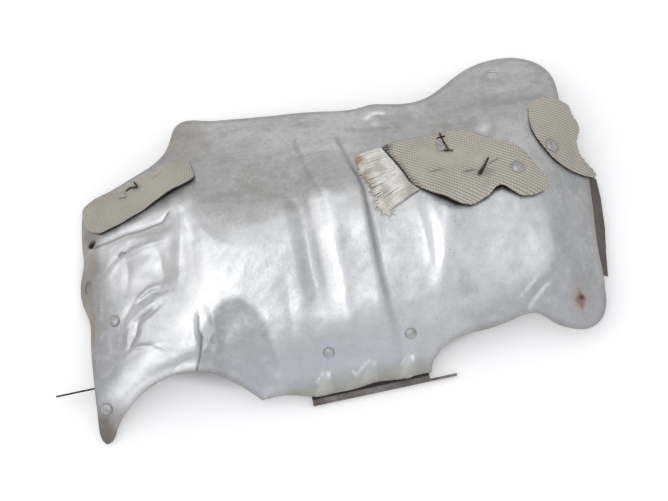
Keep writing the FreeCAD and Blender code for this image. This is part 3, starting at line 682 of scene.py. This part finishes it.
# Steel strips
# The front bracket's lip hangs under the front rim, the end bracket's tongue sticks out to the left
# and the edge strip shows past the right edge. All are thin steel gone dark brown from heat.
def dark_steel():
    g = Graph("heat_stained_steel")
    cloud = g.noise(40.0, 5.0, 0.6)
    fine = g.noise(300.0, 4.0, 0.6)
    colour = g.mix(cloud.step(0.35, 0.65), (0.12, 0.11, 0.105), (0.28, 0.255, 0.25))
    colour = g.mix(fine.step(0.48, 0.66) * 0.7, colour, (0.16, 0.10, 0.075))
    x, y = g.axis("X"), g.axis("Y")
    colour = g.mix(x.step(0.150, 0.165) * (0.35 + cloud * 0.6), colour, (0.10, 0.088, 0.08))
    # painted shadow: the front lip near black behind the sheet's rim, where no light reaches
    line = float(place((0.0, -80.2, 0.0))[1])
    lip_shadow = y.step(line - 0.0004, line + 0.0005)
    lip_shadow = lip_shadow * (1.0 - y.step(-0.07, -0.06)) * (1.0 - x.step(0.07, 0.08))
    colour = g.mix(lip_shadow * 0.94, colour, (0.012, 0.010, 0.010))
    relief = g.bump(fine, 0.3, 0.0005)
    return g.finish(Base_Color=colour, Roughness=0.5 + fine * 0.2, Metallic=0.35, Normal=relief)


def refinish(names, material):
    """Gives CAD nodes that stay as they are a better material."""
    for name in names:
        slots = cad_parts[name].data.materials
        slots.clear()
        slots.append(material)


refinish(("front_bracket", "end_bracket", "right_edge_strip"), dark_steel())


# Cloth patches
# Three scraps of thick woven heat cloth, greyed beige, with cords about 2 mm apart. They lie on the
# sheet with loose lower edges that lift off it; the middle one has frayed into yarns on its left.
def corded(x, y, angle, pitch):
    """Relief of the corded weave at plan points: 0 between cords, 1 on a stitch's crown."""
    ca, sa = math.cos(angle), math.sin(angle)
    u = (-x * sa + y * ca) / pitch + 0.10 * np.sin(0.21 * x + 0.17 * y)
    v = (x * ca + y * sa) / (0.85 * pitch) + 0.5 * np.floor(u)
    cord = np.clip(1.0 - (2.0 * (u - np.floor(u) - 0.5)) ** 2, 0.0, 1.0)
    stitch = 0.5 + 0.5 * np.cos(math.tau * v)
    return cord ** 0.7 * (0.45 + 0.55 * stitch)


def woven_cloth():
    g = Graph("woven_heat_cloth")
    crown, char_and_shade = g.painted("crown"), g.painted("char_and_shade")
    cloud = g.noise(45.0, 5.0, 0.65)
    strand = g.noise(1300.0, 3.0, 0.7)
    # painted shade between the cords and painted highlight on their crowns, from the weave's height
    colour = g.mix(crown.step(0.0, 0.60), (0.15, 0.135, 0.105), (0.52, 0.475, 0.405))
    colour = g.mix(crown.step(0.65, 1.0) * strand.step(0.35, 0.6) * 0.85, colour, (0.78, 0.73, 0.65))
    colour = g.mix(cloud.step(0.42, 0.70) * 0.30, colour, (0.30, 0.285, 0.24))
    # dark brown char and dirt, with painted shade in the pucker and round the rivet heads
    colour = g.mix(char_and_shade, colour, (0.045, 0.028, 0.020))
    return g.finish(Base_Color=colour, Roughness=0.62, Metallic=0.0, Normal=g.bump(strand, 0.5, 0.0003))


def shaded_cloth_rim():
    g = Graph("charred_cloth_edge")
    cloud = g.noise(400.0, 4.0, 0.6)
    # painted shade, near black, for the cloth's rim and back
    colour = g.mix(cloud.step(0.35, 0.7), (0.020, 0.017, 0.014), (0.055, 0.045, 0.036))
    return g.finish(Base_Color=colour, Roughness=0.9, Metallic=0.0)


cloth_material = woven_cloth()
edge_material = shaded_cloth_rim()
fine_grid = 0.42


def cloth_patch(node, points, lift, angle, char_and_shade=None, smooth_spots=(), frayed_left_of=-1e9):
    """A patch as a closed slab that follows the worn sheet, corded on top, with painted shade on its rim and
    back.
    """
    thickness, gap, pitch = 1.5, 0.5, 2.0
    points = np.array(points, float)
    closed = np.vstack([points[-1:], points, points[:2]])
    outline = []
    for p0, p1, p2, p3 in zip(closed, closed[1:], closed[2:], closed[3:]):
        for t in np.linspace(0.0, 1.0, 8, endpoint=False):
            bend = 2 * p0 - 5 * p1 + 4 * p2 - p3
            twist = 3 * p1 - p0 - 3 * p2 + p3
            outline.append(0.5 * (2 * p1 + (p2 - p0) * t + bend * t * t + twist * t ** 3))
    outline = evenly(np.array(outline), fine_grid)
    # the cut cords stand a little proud of the edge, so it is serrated
    step = np.roll(outline, -1, axis=0) - np.roll(outline, 1, axis=0)
    square = np.stack([step[:, 1], -step[:, 0]], axis=1) / np.linalg.norm(step, axis=1)[:, None]
    outline = outline + 0.35 * (corded(outline[:, 0], outline[:, 1], angle, pitch) - 0.5)[:, None] * square
    plan, faces = plan_mesh(outline, [], fine_grid)
    x, y = plan[:, 0], plan[:, 1]
    relief = corded(x, y, angle, pitch)
    flat = np.ones(len(plan))
    for cx, cy, r, calm in smooth_spots:
        flat *= 1.0 - calm * bell(np.hypot(x - cx, y - cy) / r)
    rise = lift(x, y)
    ripple = 0.22 * np.sin(0.33 * x + 0.8) * np.sin(0.29 * y)
    normal, seat = square_to(x, y, worn)
    top = seat + (gap + 0.55 * thickness + rise + ripple + 0.75 * relief * flat)[:, None] * normal
    under = seat + (gap + rise + ripple - 0.15)[:, None] * normal
    count = len(plan)
    edges = set()
    for f in faces:
        edges.update(((f[0], f[1]), (f[1], f[2]), (f[2], f[0])))
    walls = []
    for a, b in edges:
        if (b, a) not in edges:
            walls += [(a, a + count, b + count), (a, b + count, b)]
    all_faces = np.vstack([faces, faces[:, ::-1] + count, np.array(walls)])
    piece = mesh_object(node + "_weave", place(np.vstack([top, under])), all_faces)
    # the rim and back carry painted shade, near black, but the rim not where the patch has frayed into yarns
    loose = x[np.array(walls) % count].max(axis=1) < frayed_left_of
    slots = np.concatenate([np.zeros(len(faces)), np.ones(len(faces)), np.where(loose, 0, 1)])
    piece.data.materials.append(cloth_material)
    piece.data.materials.append(edge_material)
    piece.data.polygons.foreach_set("material_index", slots.astype(np.int32))
    paint(piece.data, "crown", np.concatenate([relief * flat + 0.55 * (1.0 - flat), np.full(count, 0.3)]))
    # char, dirt and painted shade from the patch's own function
    burnt = char_and_shade(x, y) if char_and_shade else np.zeros(count)
    paint(piece.data, "char_and_shade", np.concatenate([burnt, burnt]))
    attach(piece, "root")
    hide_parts(node)
    tri = top[faces]
    area = 0.5 * np.linalg.norm(np.cross(tri[:, 1] - tri[:, 0], tri[:, 2] - tri[:, 0]), axis=1).sum() * 1e-6
    return piece, float(area)


def left_lift(x, y):
    return 1.8 * (1.0 - ramp(62.0, 74.0, y - 0.30 * (x + 100.0))) * ramp(-116.0, -100.0, x)


def left_char(x, y):
    """Even grey dirt, and two dark scuffs by the wire."""
    scuff = 0.35 * bell(np.hypot((x + 101.0) / 6.0, (y - 85.5 - 0.4 * (x + 101.0)) / 1.3))
    return 0.09 + scuff + 0.3 * bell(np.hypot((x + 116.0) / 5.0, (y - 81.0) / 4.0))


left_patch, left_area = cloth_patch(
    "left_cloth_patch", LEFT_PATCH, left_lift, 0.30, left_char, [(-104, 80, 26, 0.7), (-134, 73, 24, 0.4)],
)


def middle_lift(x, y):
    lift = 1.0 - ramp(12.0, 36.0, y)
    return 6.5 * lift * ramp(60.0, 78.0, x) * (1.0 - 0.40 * ramp(104.0, 130.0, x))


def scene_lift(x, y):
    """The lower edge waves up at the notch; the pucker and the tie point pull the cloth down."""
    wave = 2.2 * hump(x, y, 113.0, 17.0, 14.0, 9.0) + 0.8 * hump(x, y, 80.0, 16.0, 12.0, 9.0)
    pucker = line_distance(x, y, [(113.5, 43.0), (108.5, 36.8), (103.4, 31.0)])[0]
    fold = line_distance(x, y, [(122.0, 43.5), (112.5, 38.5)])[0]
    drop = 0.9 * np.clip(1.0 - pucker / 2.6, 0.0, 1.0) ** 2 + 0.5 * np.clip(1.0 - fold / 2.2, 0.0, 1.0) ** 2
    swell = 1.1 * hump(x, y, 103.0, 40.0, 9.0, 9.0) + 0.9 * hump(x, y, 78.0, 40.0, 20.0, 16.0)
    return middle_lift(x, y) + wave + swell - drop


def middle_char_and_shade(x, y):
    left = 1.0 - ramp(0.0, 5.0, x - np.interp(y, [26.0, 40.0, 50.0, 66.0], [63.5, 56.5, 53.5, 48.0]))
    corner = bell(np.hypot(x - 50.0, y - 66.5) / 6.5)
    # painted shadow in the pucker's fold, widening downwards, a thin dark line beside it and painted shade
    # near its lower end
    d, along = line_distance(x, y, [(111.6, 39.6), (107.4, 34.4), (102.8, 29.4)])
    pucker_shadow = np.clip(1.3 - d / (0.35 + 1.5 * along), 0.0, 1.0)
    thin = 0.6 * np.clip(1.2 - line_distance(x, y, [(117.6, 38.0), (111.0, 35.6)])[0] / 0.8, 0.0, 1.0)
    pucker_side_shade = 0.28 * hump(x, y, 108.0, 30.0, 9.0, 6.0)
    # painted shade round the rivet head
    ring = 0.30 * bell((np.hypot(x - 127.9, y - 29.3) - 4.2) / 1.2)
    pucker_shadow = pucker_shadow + np.maximum(thin, np.maximum(pucker_side_shade, ring))
    mark = 0.6 * hump(x, y, 97.0, 33.0, 7.0, 1.4) + 0.5 * hump(x, y, 76.0, 38.0, 8.0, 1.2)
    fray = 0.5 + 0.5 * np.sin(2.6 * y + 1.3 * np.sin(0.9 * x))
    return np.clip(0.8 * left * fray + 0.95 * corner * (0.4 + 0.6 * fray) + pucker_shadow + mark, 0.0, 0.95)


middle_patch, middle_area = cloth_patch(
    "middle_cloth_patch", MIDDLE_PATCH, scene_lift, -0.62, middle_char_and_shade,
    [(90, 47, 13, 0.85), (74, 52, 14, 0.55), (104, 40, 8, 0.7), (66, 40, 10, 0.4)], frayed_left_of=61.0,
)


def right_lift(x, y):
    return 0.0 * x


def right_rivet_shade(x, y):
    # painted shade round the rivet head
    return 0.35 * bell((np.hypot(x - 155.8, y - 44.6) - 4.2) / 1.2)


right_patch, right_area = cloth_patch("right_cloth_patch", RIGHT_PATCH, right_lift, -0.40, right_rivet_shade)


# Frayed fringe
# The middle patch's left side has lost its cross threads, so loose cream yarns spread over the
# bead's step. Each yarn is a bundle of nine thin strands.
def along(points, t):
    s = min(max(t, 0.0), 1.0) * (len(points) - 1)
    i = min(int(s), len(points) - 2)
    a, b = np.array(points[i]), np.array(points[i + 1])
    return a + (s - i) * (b - a)


def new_tree(name, inputs):
    """A geometry nodes tree with named inputs, and its start node."""
    tree = bpy.data.node_groups.new(name, "GeometryNodeTree")
    for label, kind in inputs:
        tree.interface.new_socket(label, in_out="INPUT", socket_type="NodeSocket" + kind)
    tree.interface.new_socket("Result", in_out="OUTPUT", socket_type="NodeSocketGeometry")
    return tree, tree.nodes.new("NodeGroupInput")


def close_tree(tree, start, made):
    """Ends a tree in real, smooth geometry with the material of its Material input."""
    for kind in ("GeometryNodeRealizeInstances", "GeometryNodeSetShadeSmooth", "GeometryNodeSetMaterial"):
        node = tree.nodes.new(kind)
        tree.links.new(made, node.inputs["Geometry"])
        made = node.outputs["Geometry"]
    tree.links.new(start.outputs["Material"], node.inputs["Material"])
    tree.links.new(made, tree.nodes.new("NodeGroupOutput").inputs["Result"])
    return tree


def made_by(tree, piece, **values):
    """Runs a tree on a piece, with its named inputs set, and keeps the result as plain mesh."""
    modifier = piece.modifiers.new(tree.name, "NODES")
    modifier.node_group = tree
    for item in tree.interface.items_tree:
        if item.item_type == "SOCKET" and item.name in values:
            modifier[item.identifier] = values[item.name]
    bpy.context.view_layer.update()
    solid = bpy.data.meshes.new_from_object(piece.evaluated_get(bpy.context.evaluated_depsgraph_get()))
    piece.modifiers.remove(modifier)
    piece.data = solid
    return piece


def strand_tree():
    """Edges become round strands with closed ends."""
    tree, start = new_tree("strands", (("Lines", "Geometry"), ("Radius", "Float"), ("Material", "Material")))
    curve = tree.nodes.new("GeometryNodeMeshToCurve")
    circle = tree.nodes.new("GeometryNodeCurvePrimitiveCircle")
    circle.inputs["Resolution"].default_value = 6
    sweep = tree.nodes.new("GeometryNodeCurveToMesh")
    sweep.inputs["Fill Caps"].default_value = True
    tree.links.new(start.outputs["Lines"], curve.inputs["Mesh"])
    tree.links.new(start.outputs["Radius"], circle.inputs["Radius"])
    tree.links.new(curve.outputs["Curve"], sweep.inputs["Curve"])
    tree.links.new(circle.outputs["Curve"], sweep.inputs["Profile Curve"])
    return close_tree(tree, start, sweep.outputs["Mesh"])


strands = strand_tree()


def tubes(name, lines, radius, material):
    """Strands along lines of points in millimetres."""
    points, edges = [], []
    for line in lines:
        first = len(points)
        points += [tuple(p) for p in place(line)]
        edges += [(first + i, first + i + 1) for i in range(len(line) - 1)]
    mesh = bpy.data.meshes.new(name)
    mesh.from_pydata(points, edges, [])
    return made_by(strands, link(name, mesh), Radius=radius * MM, Material=material)


def yarn_material():
    g = Graph("cream_yarn")
    cloud = g.noise(95.0, 4.0, 0.6)
    x = g.axis("X")
    tip_from, tip_to, root_from, root_to = (float(place((v, 0, 0))[0]) for v in (30.5, 38.0, 50.0, 58.0))
    burnt = (1.0 - x.step(tip_from, tip_to)) * cloud.step(0.25, 0.55)
    root = x.step(root_from, root_to)
    colour = g.mix(cloud.step(0.38, 0.66), (0.86, 0.85, 0.80), (0.60, 0.575, 0.50))
    colour = g.mix(burnt * 0.85, colour, (0.45, 0.33, 0.21))
    colour = g.mix(root * 0.6, colour, (0.34, 0.29, 0.22))
    return g.finish(Base_Color=colour, Roughness=0.50 + cloud * 0.1, Metallic=0.0)


rng = np.random.default_rng(11)
lines = []
yarn_spots, strand_radius = 22, 0.26
for i in range(yarn_spots):
    base = (i + 0.5) / yarn_spots
    slant = rng.normal(0.0, 0.016)
    yarn_reach = 1.0 - (0.30 if rng.random() < 0.10 else 0.0) - 0.08 * rng.random()
    for k in range(9):
        t = base + 0.22 / yarn_spots * (k % 5 - 2.0) + rng.normal(0.0, 0.003)
        root, end = along(FRINGE_ROOTS, t), along(FRINGE_ENDS, t + slant + rng.normal(0.0, 0.008))
        reach = yarn_reach + 0.05 * rng.normal()
        bow, wander = rng.normal(0.0, 0.35), rng.normal(0.0, 0.30)
        line = []
        for f in np.linspace(0.0, 1.0, 9):
            p = root + f * reach * (end - root)
            p = p + np.array([0.0, bow * math.sin(math.pi * f) + wander * f * f])
            off = 1.0 + 0.35 * math.sin(math.pi * f) + 0.28 * (k // 5) + 0.15 * rng.random() - 0.35 * f
            line.append(outside(p[0], p[1], off, worn))
        lines.append(line)
# loose fuzz at the lower end
for _ in range(70):
    start = along(FRINGE_ENDS, 0.72 + 0.30 * rng.random()) + rng.normal(0.0, 1.6, 2) + np.array([2.5, 0.0])
    turn = rng.uniform(0.0, math.tau)
    line = []
    for f in np.linspace(0.0, 1.0, 6):
        p = start + 3.4 * f * np.array([math.cos(turn + 1.2 * f), math.sin(turn + 1.2 * f)])
        line.append(outside(p[0], p[1], 1.0 + 0.5 * rng.random(), worn))
    lines.append(line)
fringe = tubes("middle_patch_fringe_strands", lines, strand_radius, yarn_material())
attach(fringe, "root")
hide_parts("middle_patch_fringe")


# Rivets
# Six domed rivets, heads 7.6 mm across: two in the end wall, two near the front edge, one in the
# middle patch and one in the right patch. All share one turned shape, set square to the sheet.
def rivet_tree():
    """One turned rivet on every point, turned to the point's own normal."""
    tree, start = new_tree("rivets", (("Spots", "Geometry"), ("Rivet", "Object"), ("Material", "Material")))
    shape = tree.nodes.new("GeometryNodeObjectInfo")
    normal = tree.nodes.new("GeometryNodeInputNamedAttribute")
    normal.data_type = "FLOAT_VECTOR"
    normal.inputs["Name"].default_value = "square"
    turn = tree.nodes.new("FunctionNodeAlignRotationToVector")
    spread = tree.nodes.new("GeometryNodeInstanceOnPoints")
    tree.links.new(start.outputs["Rivet"], shape.inputs["Object"])
    tree.links.new(normal.outputs["Attribute"], turn.inputs["Vector"])
    tree.links.new(start.outputs["Spots"], spread.inputs["Points"])
    tree.links.new(shape.outputs["Geometry"], spread.inputs["Instance"])
    tree.links.new(turn.outputs["Rotation"], spread.inputs["Rotation"])
    return close_tree(tree, start, spread.outputs["Instances"])


def rivet_metal():
    g = Graph("dulled_rivet")
    cloud = g.noise(300.0, 4.0, 0.6)
    colour = g.mix(cloud.step(0.35, 0.7), (0.52, 0.52, 0.525), (0.38, 0.37, 0.36))
    relief = g.bump(cloud, 0.25, 0.0005)
    return g.finish(Base_Color=colour, Roughness=0.40 + cloud * 0.15, Metallic=0.85, Normal=relief)


# half section of a rivet: domed head, shank and the upset end below the sheet
profile = [
    (0.0, 1.9), (1.2, 1.84), (2.2, 1.62), (3.0, 1.2), (3.55, 0.65), (3.8, 0.0), (2.0, 0.0), (2.0, -2.4),
    (3.1, -2.5), (2.6, -3.6), (0.0, -3.9),
]
turns = 32
angles = np.arange(turns) * math.tau / turns
ring_points = [(r * math.cos(a), r * math.sin(a), z) for r, z in profile[1:-1] for a in angles]
rings = len(profile) - 2
rivet_faces = []
for j in range(rings - 1):
    for i in range(turns):
        n = (i + 1) % turns
        rivet_faces.append((j * turns + n, j * turns + i, (j + 1) * turns + i, (j + 1) * turns + n))
top_point, low_point = len(ring_points), len(ring_points) + 1
ring_points += [(0, 0, profile[0][1]), (0, 0, profile[-1][1])]
for i in range(turns):
    n = (i + 1) % turns
    rivet_faces.append((top_point, i, n))
    rivet_faces.append((low_point, (rings - 1) * turns + n, (rings - 1) * turns + i))
pattern = mesh_object("rivet_pattern", np.array(ring_points) * MM, rivet_faces)
SPOTS = {
    "rivet_end_upper": (-147.0, -5.5, 0.25), "rivet_end_lower": (-163.0, -59.5, 0.25),
    "rivet_front_left": (-16.0, -57.0, 0.25), "rivet_front_right": (38.5, -56.0, 0.25),
    "rivet_middle_patch": (127.9, 29.3, 1.6), "rivet_right_patch": (155.8, 44.6, 1.2),
}
spots = np.array(list(SPOTS.values()))
seats = np.array([outside(x, y, off, worn) for x, y, off in spots])
feet = np.array([outside(x, y, off - 4.0, pressed) for x, y, off in spots])
directions = seats - feet
points_mesh = bpy.data.meshes.new("rivet_spots")
points_mesh.from_pydata([tuple(p) for p in place(seats)], [], [])
square = points_mesh.attributes.new("square", "FLOAT_VECTOR", "POINT")
square.data.foreach_set("vector", (directions / np.linalg.norm(directions, axis=1)[:, None]).ravel())
rivets = made_by(rivet_tree(), link("rivets", points_mesh), Rivet=pattern, Material=rivet_metal())
bpy.data.objects.remove(pattern)
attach(rivets, "root")
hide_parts(*SPOTS)


# Staples and tabs
# Bent wires and small lanced tabs of bare metal pin the cloth: a staple like a letter I and a tab on
# the middle patch, a bent wire with a triangular tab on the left one.
def dark_wire():
    g = Graph("dark_wire")
    cloud = g.noise(400.0, 3.0, 0.6)
    colour = g.mix(cloud.step(0.35, 0.7), (0.03, 0.027, 0.025), (0.10, 0.085, 0.075))
    return g.finish(Base_Color=colour, Roughness=0.5 + cloud * 0.1, Metallic=0.7)


wire_metal = dark_wire()
wire_radius, wire_off = 0.55, 2.35


def wire_lines(runs, lift):
    """Points along the wires' runs, lying on the cloth."""
    out = []
    for run in runs:
        line = []
        for a, b in zip(run[:-1], run[1:]):
            for f in np.linspace(0.0, 1.0, 8)[:-1]:
                line.append((a[0] + f * (b[0] - a[0]), a[1] + f * (b[1] - a[1])))
        line.append(run[-1])
        out.append([outside(x, y, wire_off + float(lift(x, y)), worn) for x, y in line])
    return out


for name, runs, lift in (
    ("middle_patch_staple", [
        [(86.6, 68.2), (87.3, 60.0), (88.4, 51.6)], [(83.6, 64.2), (89.4, 64.6)],
        [(85.2, 52.0), (91.0, 50.6)],
    ], scene_lift),
    ("middle_patch_second_staple", [[(111.8, 40.0), (108.0, 35.2), (103.2, 29.6)]], scene_lift),
    ("left_patch_staple", [[(-116.2, 86.0), (-114.4, 80.8), (-119.4, 82.6), (-122.4, 81.0)]], left_lift),
):
    wire = tubes(name + "_wire", wire_lines(runs, lift), wire_radius, wire_metal)
    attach(wire, "root")
    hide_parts(name)


def tab_metal():
    g = Graph("bare_tab")
    cloud = g.noise(200.0, 4.0, 0.6)
    colour = g.mix(cloud.step(0.35, 0.7), (0.50, 0.50, 0.50), (0.34, 0.33, 0.32))
    return g.finish(Base_Color=colour, Roughness=0.45 + cloud * 0.15, Metallic=0.6)


refinish(("middle_patch_tab", "left_patch_tab"), tab_metal())


# Stage
# A pale matt floor under a pale studio sky with a few soft bright panels, one soft lamp and the camera.
floor_half = 3.0
corners = np.array([(-1, -1, 0), (1, -1, 0), (1, 1, 0), (-1, 1, 0)]) * floor_half
floor = mesh_object("floor", corners, [(0, 1, 2, 3)])
g = Graph("pale_floor")
dust = g.noise(3.0, 2.0, 0.5)
seen = g.node("LightPath", out="Is Camera Ray") + g.node("LightPath", out="Is Glossy Ray")
seen = seen + g.node("LightPath", out="Is Transmission Ray")
# painted shadow: no glow on the floor under the piece, so the floor seen through its holes looks dark
across = g.node("VectorMath", g.place(), (1.0 / 0.170, 1.0 / 0.098, 0.0), operation="MULTIPLY")
reach = g.node("VectorMath", across, out="Value", operation="LENGTH")
seen = seen.math("MINIMUM", 1.0) * reach.step(0.90, 1.0)
glow = g.mix(seen, (0.0, 0.0, 0.0), (1.0, 1.0, 1.0))
floor.data.materials.append(g.finish(
    Base_Color=g.mix(dust * 0.05, (0.93, 0.93, 0.93), (0.90, 0.90, 0.90)), Roughness=0.9, Metallic=0.0,
    Specular_IOR_Level=0.1, Emission_Color=glow, Emission_Strength=0.22,
))

sky = Graph("studio", "worlds", "Background")
bpy.context.scene.world = sky.owner


def sky_glow(direction, low, high):
    """1 near a direction of the sky, 0 away from it."""
    where = sky.node("TexCoord", out="Generated")
    centre = tuple(Vector(direction).normalized())
    dot = sky.node("VectorMath", where, centre, out="Value", operation="DOT_PRODUCT")
    return dot.step(low, high)


tone = sky.mix(sky_glow((0, 0, 1), 0.0, 0.72), (0.40, 0.395, 0.39), (0.80, 0.805, 0.815))
tone = sky.mix(sky_glow((0.05, -0.86, 0.50), 0.55, 0.98), tone, (0.69, 0.71, 0.745))
tone = sky.mix(sky_glow((-0.47, 0.04, 0.88), 0.74, 0.95), tone, (1.22, 1.22, 1.23))
tone = sky.mix(sky_glow((-0.22, -0.20, 0.95), 0.84, 0.985), tone, (1.14, 1.14, 1.16))
sky.finish(Color=tone, Strength=1.0)

azimuth, elevation, distance = math.radians(-12.5), math.radians(70.0), 1.25
aim = Vector(place((0.0, 0.0, 50.0)))
back = Vector((
    math.sin(azimuth) * math.cos(elevation), -math.cos(azimuth) * math.cos(elevation), math.sin(elevation),
))


def aimed(name, data, away):
    """A lamp or camera that stands this far from the object and looks at it."""
    piece = link(name, data)
    piece.location = aim + away
    piece.rotation_euler = (-away).to_track_quat("-Z", "Y").to_euler()
    return piece


lamp_data = bpy.data.lights.new("key", "AREA")
lamp_data.shape = "DISK"
lamp_data.size = 0.40
lamp_data.energy = 1.6
aimed("key", lamp_data, 1.6 * Vector((-0.20, -0.25, 0.945)))

# the lens makes one pixel of the photograph 0.64 mm at the object's distance
pixel, photo_width, sensor_width = 0.64 * MM, 668.0, 36.0
camera_data = bpy.data.cameras.new("camera")
camera_data.sensor_width = sensor_width
camera_data.lens = sensor_width * (distance / pixel) / photo_width
bpy.context.scene.camera = aimed("camera", camera_data, back * distance)
bpy.context.scene.view_settings.view_transform = "Standard"
